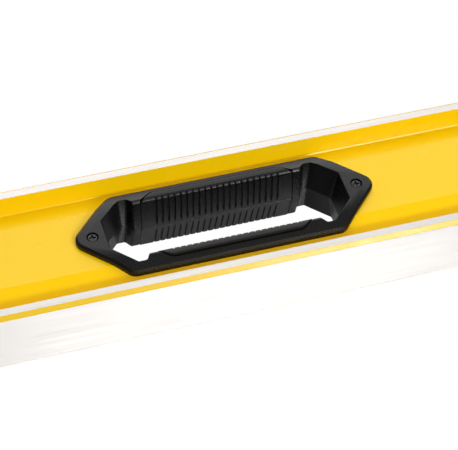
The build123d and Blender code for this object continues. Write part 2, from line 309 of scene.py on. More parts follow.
def combine(target, other, operation="DIFFERENCE"):
    """Applies a boolean of target with other, and removes other."""
    modifier = target.modifiers.new("cut", "BOOLEAN")
    modifier.operation = operation
    modifier.solver = "EXACT"
    modifier.object = other
    activate(target)
    bpy.ops.object.modifier_apply(modifier=modifier.name)
    bpy.data.objects.remove(other)
    return target


def bevel(obj, chosen, width, segments=2, clamp=True):
    """Bevels the edges for which chosen(edge) is true."""
    edit(obj, "EDGE")
    bpy.ops.mesh.select_all(action="DESELECT")
    shape = bmesh.from_edit_mesh(obj.data)
    for item in shape.edges:
        item.select = len(item.link_faces) == 2 and chosen(item)
    shape.select_flush_mode()
    bmesh.update_edit_mesh(obj.data)
    bpy.ops.mesh.bevel(offset=width, segments=segments, affect="EDGES", clamp_overlap=clamp)
    done()
    return obj


def tidy(obj, angle=32.0):
    """Merges doubles, turns the faces outwards and shades the rounded edges smooth."""
    edit(obj, "VERT")
    bpy.ops.mesh.remove_doubles(threshold=0.002 * MM)
    bpy.ops.mesh.normals_make_consistent(inside=False)
    done()
    bpy.ops.object.shade_smooth_by_angle(angle=math.radians(angle))
    modifier = obj.modifiers.new("flat faces stay flat", "WEIGHTED_NORMAL")
    modifier.keep_sharp = True
    bpy.ops.object.modifier_apply(modifier=modifier.name)
    return obj


def copied(obj, name, matrix):
    """A copy with its own mesh, moved or mirrored, with its faces still outwards."""
    twin = obj.copy()
    twin.data = obj.data.copy()
    twin.name = name
    bpy.context.collection.objects.link(twin)
    twin.data.transform(matrix)
    if matrix.determinant() < 0:
        twin.data.flip_normals()
    return twin


def place(obj, node, slot, *materials):
    """Puts a finished piece in the object: its body, the node it stands for, its finish."""
    obj.data.materials.clear()
    for material in materials:
        obj.data.materials.append(material)
    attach(obj, "level")
    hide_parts(node)


def rounded(outline, radii, steps=4):
    """Outline with each corner replaced by an arc; radii is one number or one for each corner."""
    count = len(outline)
    radii = radii if isinstance(radii, (list, tuple)) else [radii] * count
    result = []
    for i, corner in enumerate(outline):
        if not radii[i]:
            result.append(corner)
            continue
        here = Vector(corner)
        before = (Vector(outline[i - 1]) - here).normalized()
        after = (Vector(outline[(i + 1) % count]) - here).normalized()
        half = before.angle(after) / 2
        reach = radii[i] / math.tan(half)
        centre = here + (before + after).normalized() * radii[i] / math.sin(half)
        first = here + before * reach - centre
        last = here + after * reach - centre
        side = 1.0 if first.cross(last) > 0 else -1.0
        for k in range(steps + 1):
            turn = side * first.angle(last) * k / steps
            result.append(tuple(centre + Matrix.Rotation(turn, 2) @ first))
    return result


def four_ways(quarter):
    """Closed outline from its +u, +v quarter, listed from the u axis up."""
    upper = quarter + [(-u, v) for u, v in reversed(quarter)]
    return upper + [(u, -v) for u, v in reversed(upper)]


def mirrored_list(values):
    """The per-corner values of a four_ways outline."""
    upper = list(values) + list(reversed(values))
    return upper + list(reversed(upper))


def shifted(outline, u, v):
    """The outline moved."""
    return [(pu + u, pv + v) for pu, pv in outline]


# ---- Materials ----------------------------------------------------------------------------

def add_node(tree, kind, settings=None, links=None):
    """Adds a node, sets its inputs or properties, and links inputs from (node, output)."""
    node = tree.nodes.new(kind)
    for key, value in (settings or {}).items():
        if isinstance(key, int) or key in node.inputs:
            node.inputs[key].default_value = value
        else:
            setattr(node, key, value)
    for key, (source, output) in (links or {}).items():
        tree.links.new(source.outputs[output], node.inputs[key])
    return node


def finish_of(name, base, **settings):
    """A material with one Principled shader; returns (material, tree, shader)."""
    material = bpy.data.materials.new(name)
    material.use_nodes = True
    tree = material.node_tree
    tree.nodes.clear()
    values = {"Base Color": (*base, 1.0)}
    values.update({key.replace("_", " "): value for key, value in settings.items()})
    shader = add_node(tree, "ShaderNodeBsdfPrincipled", values)
    add_node(tree, "ShaderNodeOutputMaterial", links={"Surface": (shader, "BSDF")})
    return material, tree, shader


def noise(tree, grain, stretch=(1.0, 1.0, 1.0), detail=3.0):
    """Noise in object space whose grain size is in metres, drawn out along an axis if asked."""
    position = add_node(tree, "ShaderNodeTexCoord")
    scaled = add_node(
        tree, "ShaderNodeMapping", {"Scale": tuple(1.0 / (grain * s) for s in stretch)},
        {"Vector": (position, "Object")},
    )
    return add_node(
        tree, "ShaderNodeTexNoise", {"Scale": 1.0, "Detail": detail, "Roughness": 0.6},
        {"Vector": (scaled, "Vector")},
    )


def relief(tree, shader, source, depth):
    """Bump of a real depth in metres from a pattern."""
    bump = add_node(
        tree, "ShaderNodeBump", {"Strength": 1.0, "Distance": depth}, {"Height": (source, "Fac")}
    )
    tree.links.new(bump.outputs["Normal"], shader.inputs["Normal"])


def vary_roughness(tree, shader, source, low, high):
    """Roughness that follows a pattern, whose values lie about 0.3 to 0.7, between two values."""
    span = add_node(
        tree, "ShaderNodeMapRange",
        {"From Min": 0.3, "From Max": 0.7, "To Min": low, "To Max": high},
        {"Value": (source, "Fac")},
    )
    tree.links.new(span.outputs["Result"], shader.inputs["Roughness"])


def vary_colour(tree, shader, source, dark, light):
    """Base colour that follows a pattern between two colours."""
    # A mix of colours has them on these sockets; those before are for numbers and vectors.
    first, second, result = 6, 7, 2
    mix = add_node(
        tree, "ShaderNodeMix",
        {"data_type": "RGBA", first: (*dark, 1.0), second: (*light, 1.0)},
        {"Factor": (source, "Fac")},
    )
    tree.links.new(mix.outputs[result], shader.inputs["Base Color"])


def powder_coat():
    """Polyester powder coat, cured: saturated and satin, with a faint 1.6 mm orange peel."""
    material, tree, shader = finish_of(
        "polyester powder coat", colours().coat, Roughness=0.25, Specular_IOR_Level=0.25
    )
    relief(tree, shader, noise(tree, 1.6 * MM), 0.012 * MM)
    vary_roughness(tree, shader, noise(tree, 9.0 * MM), 0.22, 0.28)
    return material


def milled_aluminium():
    """Fly-cut aluminium: bright, with fine lengthwise tool lines that soften reflections."""
    material, tree, shader = finish_of(
        "milled aluminium", colours().milled, Metallic=1.0, Roughness=0.5
    )
    # Tool lines are about 0.1 mm apart; they are drawn 0.5 mm apart so that they show.
    lines = noise(tree, 0.5 * MM, stretch=(90.0, 1.0, 1.0), detail=2.0)
    relief(tree, shader, lines, 0.004 * MM)
    vary_roughness(tree, shader, lines, 0.45, 0.55)
    return material


def moulded_black(name, base, roughness, grain, depth):
    """Spark-eroded mould texture on a black plastic: an even fine grain that kills glare."""
    material, tree, shader = finish_of(name, base, Roughness=roughness, Specular_IOR_Level=0.26)
    texture = noise(tree, grain)
    relief(tree, shader, texture, depth)
    vary_roughness(tree, shader, texture, roughness - 0.05, roughness + 0.07)
    return material


def glass_nylon():
    """Glass-filled nylon, moulded: near black, satin. The 0.2 mm grain is drawn at 0.45 mm."""
    return moulded_black("glass filled nylon", colours().nylon, 0.28, 0.45 * MM, 0.012 * MM)


def soft_elastomer():
    """Overmoulded elastomer: satin, very fine grain. The 0.1 mm grain is drawn at 0.35 mm."""
    return moulded_black("thermoplastic elastomer", colours().elastomer, 0.3, 0.35 * MM, 0.008 * MM)


def shock_rubber():
    """Moulded rubber: darker and duller than the plastic beside it."""
    return moulded_black("moulded rubber", colours().rubber, 0.7, 0.6 * MM, 0.03 * MM)


def black_zinc():
    """Black zinc plate on steel: dark metal with bright worn spots on the drive edges."""
    material, tree, shader = finish_of(
        "black zinc plate", colours().zinc, Metallic=1.0, Roughness=0.35
    )
    wear = noise(tree, 0.8 * MM)
    vary_roughness(tree, shader, wear, 0.25, 0.45)
    vary_colour(tree, shader, wear, linear("#2A2A2B"), linear("#4C4C4E"))
    return material


def clear_plastic(name, ior):
    """Polished clear plastic: water-clear with a trace of moulding waviness."""
    material, tree, shader = finish_of(
        name, colours().clear, Roughness=0.03, IOR=ior, Transmission_Weight=1.0
    )
    relief(tree, shader, noise(tree, 6.0 * MM), 0.004 * MM)
    return material


def vial_spirit():
    """Tinted mineral spirit: bright yellow-green, clear."""
    material, tree, shader = finish_of(
        "tinted mineral spirit", colours().liquid, Roughness=0.0, IOR=1.42,
        Transmission_Weight=1.0,
    )
    relief(tree, shader, noise(tree, 8.0 * MM), 0.001 * MM)
    return material


def air_bubble():
    """Air in spirit: seen only by its edge, so its index is below one."""
    material, tree, shader = finish_of(
        "air bubble", (1.0, 1.0, 1.0), Roughness=0.0, IOR=1.0 / 1.42, Transmission_Weight=1.0
    )
    relief(tree, shader, noise(tree, 5.0 * MM), 0.001 * MM)
    return material


def white_abs():
    """White moulded ABS that lights the vial from behind."""
    material, tree, shader = finish_of("white ABS", colours().white, Roughness=0.45)
    relief(tree, shader, noise(tree, 0.5 * MM), 0.01 * MM)
    return material


def ring_ink():
    """Printed ink: black, slightly glossy."""
    material, tree, shader = finish_of("ring ink", colours().ink, Roughness=0.4)
    relief(tree, shader, noise(tree, 0.3 * MM), 0.004 * MM)
    return material


def finishes():
    """All the materials, made once."""
    if "polyester powder coat" not in bpy.data.materials:
        powder_coat()
        milled_aluminium()
        glass_nylon()
        soft_elastomer()
        shock_rubber()
        black_zinc()
        clear_plastic("polycarbonate", 1.585)
        clear_plastic("machined acrylic", 1.49)
        vial_spirit()
        air_bubble()
        white_abs()
        ring_ink()
    return bpy.data.materials


def refinish(node, material_name):
    """A better material on a frame node whose shape stays."""
    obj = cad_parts[node]
    for material_slot in obj.material_slots:
        material_slot.material = finishes()[material_name]


# ---- Beam ---------------------------------------------------------------------------------

def web_y(rise):
    """Depth of the front web's surface, at a height from the middle."""
    s = sizes()
    fall = s.web_slope * max(0.0, abs(rise) - s.panel_half)
    return FLANGE_Y + s.flange + fall


def section(lip, band_top, valley, panel, face, chamfer):
    """Closed (y, z) outline of the section or, with no chamfer, of its hollow."""
    s = sizes()
    edge = s.section_edge if chamfer else 0.0
    half = [
        (lip + chamfer, face),
        (lip, face + chamfer),
        (lip, band_top),
        (valley, MIDDLE - s.valley_half),
        (panel, MIDDLE - s.panel_half),
    ]
    radii = [edge, edge, 0.0, 2 * edge, 2 * edge]
    if not chamfer:
        half, radii = half[1:], radii[1:]
    half += [(y, TOP - z) for y, z in reversed(half)]
    outline = half + [(-y, z) for y, z in reversed(half)]
    return rounded(outline, (radii + radii[::-1]) * 2, steps=2)


def top_slot():
    """Outline of the top lens and of the slots under it."""
    low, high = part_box("centre_top_lens")
    return [(low.x, low.y), (high.x, low.y), (high.x, high.y), (low.x, high.y)]


def build_beam():
    """Extrusion with its cut-outs, yellow all over but for the milled bands and faces."""
    s = sizes()
    valley, panel = web_y(s.valley_half), web_y(0.0)
    solid = section(
        -HALF_DEPTH, s.corner_chamfer + s.milled_band, valley, panel, 0.0, s.corner_chamfer
    )
    hollow = section(
        valley - s.web_wall / 2, s.face_wall + MM, valley + s.web_wall, panel + s.web_wall,
        s.face_wall, 0.0,
    )
    beam = prism("box_beam", "X", solid, -BEAM_END, BEAM_END)
    combine(beam, prism("hollow", "X", hollow, -2 * BEAM_END, 2 * BEAM_END))
    play = 0.3 * MM
    room = s.sleeve + play
    reach = 2 * HALF_DEPTH
    for x in (-HANDHOLD_X, HANDHOLD_X):
        cutter = shifted(hexagon(s.cutout_tip, s.cutout_half), x, MIDDLE)
        combine(beam, prism("cutter", "Y", cutter, -reach, reach))
    for x in (-PLUMB_X, PLUMB_X):
        combine(beam, y_rod("cutter", x, MIDDLE, s.plumb_window + room, -reach, reach, 96))
    window = shifted(centre_window(room), 0.0, CENTRE_VIAL_Z)
    combine(beam, prism("cutter", "Y", window, -reach, reach))
    combine(beam, prism("cutter", "Z", top_slot(), TOP - 2 * s.face_wall, TOP + s.face_wall))
    tidy(beam, 20.0)
    place(
        beam, "beam", "yellow_coated_aluminium",
        finishes()["polyester powder coat"], finishes()["milled aluminium"],
    )
    flat, skin = 0.999, 0.1 * MM
    for face in beam.data.polygons:
        on_face = abs(face.normal.z) > flat and abs(face.center.z - MIDDLE) > MIDDLE - skin
        on_lip = abs(face.normal.y) > flat and abs(face.center.y) > HALF_DEPTH - skin
        face.material_index = 1 if on_face or on_lip else 0


# ---- Flanges ------------------------------------------------------------------------------

def hexagon(tip, half_height):
    """Elongated hexagon with ends at 45 degrees."""
    corner = tip - half_height
    upper = [(tip, 0.0), (corner, half_height), (-corner, half_height)]
    return upper + [(-u, -v) for u, v in upper]


def octagon(half_width, half_height, chamfer):
    """Rectangle with its corners cut at 45 degrees."""
    return four_ways([(half_width, half_height - chamfer), (half_width - chamfer, half_height)])


def centre_window(margin):
    """The centre vial's window, made larger all round by a margin."""
    s = sizes()
    return octagon(
        s.window_half + margin, s.window_rise + margin, s.window_chamfer + margin * CUT_GROWTH
    )


def flange(name, outline):
    """Plate that follows the front web, corners rounded, outer edge bevelled."""
    s = sizes()
    reach = s.valley_half
    rises = (-reach, -s.panel_half, s.panel_half, reach)
    web = [(web_y(rise), MIDDLE + rise) for rise in rises]
    front = [(y - s.flange, z) for y, z in reversed(web)]
    far = 2 * s.handhold_tip
    plate = prism(name, "X", web + front, -far, far)
    blank = shifted(rounded(outline, FLANGE_CORNER, steps=8), 0.0, MIDDLE)
    combine(plate, prism("blank", "Y", blank, -2 * HALF_DEPTH, 0.0), "INTERSECT")

    def outer_rim(item):
        """True for an edge between the plate's face and its side."""
        turned = sorted(face.normal.y for face in item.link_faces)
        return turned[0] < -0.9 and abs(turned[1]) < 0.3

    return bevel(plate, outer_rim, s.flange_chamfer, segments=1, clamp=False)


def sink_screws(plate, offset):
    """Counterbores for the two screws of a front flange."""
    for x in (-offset, offset):
        radius = sizes().counterbore
        combine(plate, y_rod("sink", x, MIDDLE, radius, -HALF_DEPTH, FLANGE_Y + SCREW_SINK))


def rim_depths(radius, steps=5):
    """(depth, widening) pairs of a quarter-round rim."""
    angles = [math.pi / 2 * k / steps for k in range(steps + 1)]
    return [(radius * (1 - math.cos(a)), radius * (1 - math.sin(a))) for a in angles]


def widening(depth, radius):
    """How much a rim of that radius has opened out, at a depth under the face."""
    if depth >= radius:
        return 0.0
    return radius - math.sqrt(max(0.0, radius ** 2 - (radius - depth) ** 2))


# ---- Hand-holds ---------------------------------------------------------------------------

def opening(inset, grip_inset, share=0.0):
    """Outline of the opening with its four finger notches; share is 0 at the face, 1 inside."""
    s = sizes()
    notch = s.notch_half - inset
    grip = s.grip_half - grip_inset
    diagonal = s.opening_diagonal - inset * CORNER_SHIFT
    deepening = notch - grip - (s.notch_half - s.grip_half)
    side_slope = 0.1
    corners = four_ways([
        (s.opening_half - inset, diagonal - s.opening_half),
        (diagonal - s.notch_half, notch),
        (s.notch_x, notch),
        (s.grip_x + deepening * side_slope, grip),
    ])
    face_corner, inner_corner, grip_corner = 1.2 * MM, 3.4 * MM, 0.7 * MM
    wall = face_corner + (inner_corner - face_corner) * share
    radii = mirrored_list([wall, wall, face_corner, grip_corner])
    return shifted(rounded(corners, radii), 0.0, MIDDLE)


def opening_cutter():
    """The front half of the opening, with rounded rims, narrowing to the middle of the beam."""
    s = sizes()
    stations = [(-HALF_DEPTH, opening(-s.rim, -s.grip_rim))]
    # Depths lie closest where the rims turn into the bore.
    for millimetres in (0.0, 0.05, 0.15, 0.3, 0.5, 0.85, 1.3, 1.8, 5.0, 9.5):
        depth = millimetres * MM
        share = depth / -FLANGE_Y
        stations.append((
            FLANGE_Y + depth,
            opening(
                s.draft * share - widening(depth, s.rim),
                s.grip_draft * share - widening(depth, s.grip_rim),
                share,
            ),
        ))
    for y in (0.0, OVERRUN):
        stations.append((y, opening(s.draft, s.grip_draft, 1.0)))
    return tower("opening", "Y", stations)


def inlay_surface(top):
    """Points over the inlay's face up to a height, round its rim and down the bore to the seam.

    Each comes with the direction into the material and how far it is behind the face.
    """
    s = sizes()
    steps = 14
    draft = s.grip_draft / -FLANGE_Y

    def face_point(rise):
        return Vector((FLANGE_Y - s.pad_rise, rise))

    def bore_point(y):
        return Vector((y, s.grip_half - draft * (y - FLANGE_Y)))

    into_face = Vector((1.0, 0.0))
    into_bore = Vector((draft, 1.0)).normalized()
    corner_rise = s.grip_half + draft * s.pad_rise
    reach = s.grip_rim / (1 + into_face.dot(into_bore))
    centre = face_point(corner_rise) + (into_face + into_bore) * reach
    rim = []
    for k in range(steps + 1):
        inward = into_face.slerp(into_bore, k / steps)
        rim.append((centre - inward * s.grip_rim, inward))
    start, first = rim[0][0]
    over_face = max(top - first, 0.0)
    face = [(face_point(first + over_face * share), into_face) for share in (1.0, 0.6, 0.3)]
    last = rim[-1][0].x
    bore = []
    for k in range(1, steps + 1):
        bore.append((bore_point(last - (last + s.seam_bevel) * k / steps), into_bore))
    seam = (bore_point(0.0) + Vector((0.0, s.seam_bevel)), into_bore)
    over = face + rim + bore
    # Points above the top are gathered on the highest one that isn't.
    highest = next(pair for pair in over if pair[0].y <= top + 0.001 * MM)
    cut = [pair if pair[0].y <= highest[0].y else highest for pair in over]
    return [(spot, inward, max(0.0, spot.x - start)) for spot, inward in cut + [seam]]


def groove_at(x, depth):
    """Depth of the grip grooves at a place: round-ended, evenly spaced."""
    s = sizes()
    last = (s.groove_count - 1) / 2
    nearest = max(-last, min(last, round(x / s.groove_pitch + last) - last)) * s.groove_pitch
    past = max(0.0, s.groove_start - depth, depth - s.groove_end)
    share = math.hypot(x - nearest, past) / s.groove_half
    return s.groove_depth * math.sqrt(max(0.0, 1.0 - share ** 2))


def inlay_top(x):
    """Height of the inlay's outer edge above the middle: level, then down a slanted end."""
    s = sizes()
    slant = (s.pad_top - s.grip_half) / (s.pad_half - s.pad_face_half)
    over = abs(x) - s.pad_face_half
    blend = 1.2 * MM
    soft = over if over > blend else max(0.0, over + blend) ** 2 / (4 * blend)
    return s.pad_top - slant * soft


def inlay_station(x):
    """(y, z) outline of the upper inlay where x is, closed behind its visible surface."""
    s = sizes()
    edge = 0.3 * MM
    margin = s.pad_half - abs(x)
    sunk = edge - math.sqrt(max(0.0, edge ** 2 - (edge - margin) ** 2)) if margin < edge else 0.0
    top = inlay_top(x)
    outline = []
    for spot, inward, depth in inlay_surface(top - edge):
        outline.append(spot + inward * (sunk + groove_at(x, depth)))
    first = outline[0]
    half_way = 0.3 * edge
    side = [
        Vector((first.x + s.pad_seat, top)),
        Vector((first.x + edge, top)),
        Vector((first.x + half_way, top - half_way)),
    ]
    seam = s.grip_half - s.grip_draft + s.pad_wall
    back = [
        Vector((0.0, seam)),
        Vector((first.x + s.pad_seat, s.grip_half + s.pad_wall)),
    ]
    return [(p.x, MIDDLE + p.y) for p in side + outline + back]


def inlay():
    """Upper front inlay with its grooves, run along the beam station by station."""
    s = sizes()
    last = (s.groove_count - 1) / 2
    middles = [(i - last) * s.groove_pitch for i in range(s.groove_count)]
    # Stations lie closest at the sides of a groove and where the inlay's end is rounded.
    across = (-1.0, -0.94, -0.75, -0.4, 0.0, 0.4, 0.75, 0.94, 1.0)
    grooved = [x + share * s.groove_half for x in middles for share in across]
    from_end = (0.0, 0.03, 0.1, 0.2, 0.32, 1.0, 1.8, 2.6, 3.2, 3.8, 4.4, 5.0)
    ends = [s.pad_half - millimetres * MM for millimetres in from_end]
    stations = sorted(grooved + ends + [-x for x in ends])
    return tidy(tower("inlay", "X", [(x, inlay_station(x)) for x in stations]), 40.0)


def inlay_room(gap):
    """The hollow that the inlay lies in, with an open joint round the inlay's face."""
    s = sizes()
    play = 0.1 * MM
    seat = FLANGE_Y + s.pad_seat + play
    inner = s.grip_half - s.grip_draft
    profile = [
        (-HALF_DEPTH, inner - gap),
        (-HALF_DEPTH, s.pad_top + gap),
        (seat, s.pad_top + gap),
        (seat, s.grip_half + s.pad_wall + play),
        (0.0, inner + s.pad_wall + play),
        (0.0, inner - gap),
    ]
    half = s.pad_half + play
    room = prism("inlay_room", "X", shifted(profile, 0.0, MIDDLE), -half, half)
    steps = 24
    xs = [half * k / steps for k in range(steps)] + [s.pad_half - 0.01 * MM]
    # More points where the level top turns down.
    xs += [s.pad_face_half + millimetres * MM for millimetres in (-1.2, -0.6, 0.6, 1.2)]
    ridge = [(x, MIDDLE + inlay_top(x) + gap) for x in sorted(xs)]
    ridge.append((half, ridge[-1][1] - gap))
    outline = [(half, 0.0)] + ridge[::-1] + [(-x, z) for x, z in ridge[1:]] + [(-half, 0.0)]
    return combine(room, prism("ridge", "Y", outline, -2 * HALF_DEPTH, HALF_DEPTH), "INTERSECT")


def build_handholds():
    """Two hand-holds, each a front and a rear shell with four soft inlays."""
    s = sizes()
    as_made = Matrix.Identity(4)
    upside_down = Matrix.Translation((0, 0, TOP)) @ Matrix.Scale(-1, 4, (0, 0, 1))
    shell = flange("handhold_shell", hexagon(s.handhold_tip, s.flange_half))
    beam_play = 0.2 * MM
    sleeve = octagon(
        s.opening_half + s.sleeve, s.notch_half + s.sleeve - beam_play,
        s.notch_half + s.opening_half - s.opening_diagonal + s.sleeve * CUT_GROWTH,
    )
    sleeve = prism("sleeve", "Y", shifted(sleeve, 0.0, MIDDLE), web_y(0.0) - SLEEVE_ROOT, 0.0)
    combine(shell, sleeve, "UNION")
    combine(shell, opening_cutter())
    lower_room = inlay_room(s.pad_gap / 2)
    combine(shell, copied(lower_room, "lower_room", upside_down))
    bpy.data.objects.remove(lower_room)
    combine(shell, inlay_room(s.pad_gap))
    plain = copied(shell, "rear_shell", as_made)
    sink_screws(shell, s.screw_x)
    tidy(shell)
    tidy(plain)

    soft_inlay = inlay()
    nylon = finishes()["glass filled nylon"]
    soft = finishes()["thermoplastic elastomer"]
    for side, x in (("left", -HANDHOLD_X), ("right", HANDHOLD_X)):
        shift = Matrix.Translation((x, 0, 0))
        for depth, matrix, source in (
            ("front", shift, shell),
            ("rear", shift @ REARWARDS, plain),
        ):
            node = f"{side}_handhold_{depth}_shell"
            piece = copied(source, f"{node}_moulding", matrix)
            place(piece, node, "black_nylon", nylon)
            for height, flip in (("upper", as_made), ("lower", upside_down)):
                node = f"{side}_handhold_{depth}_{height}_grip"
                piece = copied(soft_inlay, f"{node}_inlay", matrix @ flip)
                place(piece, node, "soft_grip", soft)
        refinish(f"{side}_handhold_screws", "black zinc plate")
    for source in (shell, plain, soft_inlay):
        bpy.data.objects.remove(source)


# ---- Vial modules -------------------------------------------------------------------------

def bezel(name, outline, sleeve, window):
    """Flange and sleeve round a window with a rounded rim; window(margin) is its outline."""
    rim = 0.7 * MM
    plate = flange(name, outline)
    combine(plate, prism("sleeve", "Y", sleeve, web_y(0.0) - SLEEVE_ROOT, 0.0), "UNION")
    stations = [(-HALF_DEPTH, window(rim))]
    for depth, wide in rim_depths(rim):
        stations.append((FLANGE_Y + depth, window(wide)))
    stations.append((OVERRUN, window(0.0)))
    combine(plate, tower("window", "Y", stations))
    return plate


def lens(name, outline, start, thickness):
    """Clear plate with rounded edges."""
    plate = prism(name, "Y", outline, start, start + thickness)

    def outer_edge(item):
        """True for an edge between one of the plate's faces and its side."""
        turned = [abs(face.normal.y) for face in item.link_faces]
        return max(turned) > 0.99 and min(turned) < 0.1

    return tidy(bevel(plate, outer_edge, 0.3 * MM))


def barrel(name, node, vertical):
    """Barrel of spirit that fills a vial's bore, spun about the vial's axis."""
    low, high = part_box(node)
    centre = (low + high) / 2
    middle_radius = (high.y - low.y) / 2
    taper = 0.5 * MM
    rings = 9
    if vertical:
        axis, along, u, v, half = "Z", centre.z, centre.x, centre.y, (high.z - low.z) / 2
    else:
        axis, along, u, v, half = "X", centre.x, centre.y, centre.z, (high.x - low.x) / 2
    stations = []
    for i in range(rings):
        share = -1 + 2 * i / (rings - 1)
        outline = circle(middle_radius - taper * share ** 2, 40, u, v)
        stations.append((along + half * share, outline))
    return tidy(tower(name, axis, stations), 40.0)


def build_centre_vial():
    """Centre module: bezels, lenses, top lens and the filled vial."""
    s = sizes()
    black = finishes()["glass filled nylon"]
    clear = finishes()["polycarbonate"]

    def window(margin):
        """The window with rounded corners, in its place."""
        return shifted(rounded(centre_window(margin), 1.2 * MM), 0.0, CENTRE_VIAL_Z)

    sleeve = shifted(centre_window(s.sleeve), 0.0, CENTRE_VIAL_Z)
    outline = hexagon(s.centre_tip, s.flange_half)
    front = bezel("centre_front_bezel_moulding", outline, sleeve, window)
    combine(front, prism("light_well", "Z", top_slot(), CENTRE_VIAL_Z, TOP))
    rear = copied(front, "centre_rear_bezel_moulding", REARWARDS)
    sink_screws(front, s.centre_screw_x)
    place(tidy(front), "centre_front_bezel", "black_abs", black)
    place(tidy(rear), "centre_rear_bezel", "black_abs", black)

    low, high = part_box("centre_front_lens")
    pane = lens("centre_front_window", window(-LENS_PLAY), low.y, high.y - low.y)
    back = copied(pane, "centre_rear_window", REARWARDS)
    place(pane, "centre_front_lens", "clear_lens", clear)
    place(back, "centre_rear_lens", "clear_lens", clear)

    low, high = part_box("centre_top_lens")
    top = prism("centre_top_window", "Z", rounded(top_slot(), MM), low.z, high.z)
    skin = 0.02 * MM
    bevel(top, lambda item: all(v.co.z > high.z - skin for v in item.verts), 0.4 * MM)
    place(tidy(top), "centre_top_lens", "clear_lens", clear)
    spirit = barrel("centre_spirit", "centre_liquid", vertical=False)
    place(spirit, "centre_liquid", "vial_liquid", finishes()["tinted mineral spirit"])
    dress_vial("centre")
    refinish("centre_cradle", "white ABS")
    refinish("centre_screws", "black zinc plate")


def dress_vial(prefix):
    """Materials of the frame nodes that make up one vial."""
    refinish(f"{prefix}_vial", "machined acrylic")
    refinish(f"{prefix}_filling_plug", "machined acrylic")
    refinish(f"{prefix}_reading_rings", "ring ink")
    refinish(f"{prefix}_bubble", "air bubble")


def build_plumb_vials():
    """Two plumb modules: bezels, lenses and filled vials."""
    s = sizes()

    def window(margin):
        """The round window in its place."""
        return circle(s.plumb_window + margin, 64, 0.0, MIDDLE)

    outline = octagon(s.flange_half, s.flange_half, s.flange_half * CUT_GROWTH)
    ring = tidy(bezel("plumb_bezel", outline, window(s.sleeve), window))
    low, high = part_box("right_plumb_front_lens")
    pane = lens("plumb_pane", window(-LENS_PLAY), low.y, high.y - low.y)
    for side, x in (("left", -PLUMB_X), ("right", PLUMB_X)):
        shift = Matrix.Translation((x, 0, 0))
        for depth, matrix in (("front", shift), ("rear", shift @ REARWARDS)):
            node = f"{side}_plumb_{depth}"
            piece = copied(ring, f"{node}_bezel_moulding", matrix)
            place(piece, f"{node}_bezel", "black_abs", finishes()["glass filled nylon"])
            piece = copied(pane, f"{node}_window", matrix)
            place(piece, f"{node}_lens", "clear_lens", finishes()["polycarbonate"])
        node = f"{side}_plumb_liquid"
        spirit = barrel(f"{side}_plumb_spirit", node, vertical=True)
        place(spirit, node, "vial_liquid", finishes()["tinted mineral spirit"])
        dress_vial(f"{side}_plumb")
        refinish(f"{side}_plumb_cradle", "white ABS")
    for source in (ring, pane):
        bpy.data.objects.remove(source)


# ---- End caps -----------------------------------------------------------------------------

def rectangle(half_u, half_v, radius=0.0, height=MIDDLE):
    """Rectangle across the beam, its middle at a height, its corners rounded by a radius."""
    corners = [(half_u, half_v), (-half_u, half_v), (-half_u, -half_v), (half_u, -half_v)]
    return shifted(rounded(corners, radius), 0.0, height)


def end_cap(half_y, half_z):
    """Plate on the beam's right end, with a hollow plug that stands in the beam."""
    low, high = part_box("right_end_cap")
    cap = prism("end_cap", "X", rectangle(half_y, half_z, PLATE_CORNER), BEAM_END, high.x)
    plug = rectangle(6.3 * MM, 22.0 * MM)
    combine(cap, prism("plug", "X", plug, low.x, BEAM_END + MM), "UNION")
    core = rectangle(4.0 * MM, 19.6 * MM)
    return tidy(combine(cap, prism("core", "X", core, low.x - MM, BEAM_END)))


def shock_pad(half_y, half_z):
    """Rubber pad over the plate: rounded towards its outer face, with grooves across it."""
    low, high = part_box("right_shock_pad")
    plate = rectangle(half_y, half_z, PLATE_CORNER, 0.0)
    # Distance from the outer face, then what is left of the plate's depth and of its height.
    rounding = ((1.2 * MM, 1.0, 1.0), (0.4 * MM, 0.97, 0.985), (0.0, 0.91, 0.955))
    stations = [(low.x, shifted(plate, 0.0, MIDDLE))]
    for inside, share_y, share_z in rounding:
        outline = shifted([(u * share_y, v * share_z) for u, v in plate], 0.0, MIDDLE)
        stations.append((high.x - inside, outline))
    pad = tower("shock_pad", "X", stations)
    pitch, grooves = 5.2 * MM, 9
    for i in range(grooves):
        height = MIDDLE + (i - grooves // 2) * pitch
        groove = rectangle(10.0 * MM, 0.9 * MM, 0.85 * MM, height)
        combine(pad, prism("groove", "X", groove, high.x - MM, high.x + MM))
    return tidy(pad)


def build_end_caps():
    """Plates on the beam's ends and ribbed rubber pads on the plates."""
    low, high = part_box("right_end_cap")
    half_y, half_z = high.y, (high.z - low.z) / 2
    cap = end_cap(half_y, half_z)
    pad = shock_pad(half_y, half_z)
    for side, sign in (("left", -1), ("right", 1)):
        matrix = Matrix.Scale(sign, 4, (1, 0, 0))
        node = f"{side}_end_cap"
        piece = copied(cap, f"{node}_moulding", matrix)
        place(piece, node, "black_cap", finishes()["glass filled nylon"])
        node = f"{side}_shock_pad"
        piece = copied(pad, f"{node}_moulding", matrix)
        place(piece, node, "shock_rubber", finishes()["moulded rubber"])
    for source in (cap, pad):
        bpy.data.objects.remove(source)


# ---- Stage --------------------------------------------------------------------------------

def look_at(obj, target):
    """Points a light at a target."""
    obj.rotation_euler = (target - obj.location).to_track_quat("-Z", "Y").to_euler()


def softbox(name, offset, target, size, power):
    """Square area light at an offset from its target."""
    bpy.ops.object.light_add(type="AREA", location=target + Vector(offset))
    light = bpy.context.object
    light.name = name
    light.data.shape = "SQUARE"
    light.data.size = size
    light.data.energy = power
    light.visible_camera = False
    look_at(light, target)
    return light


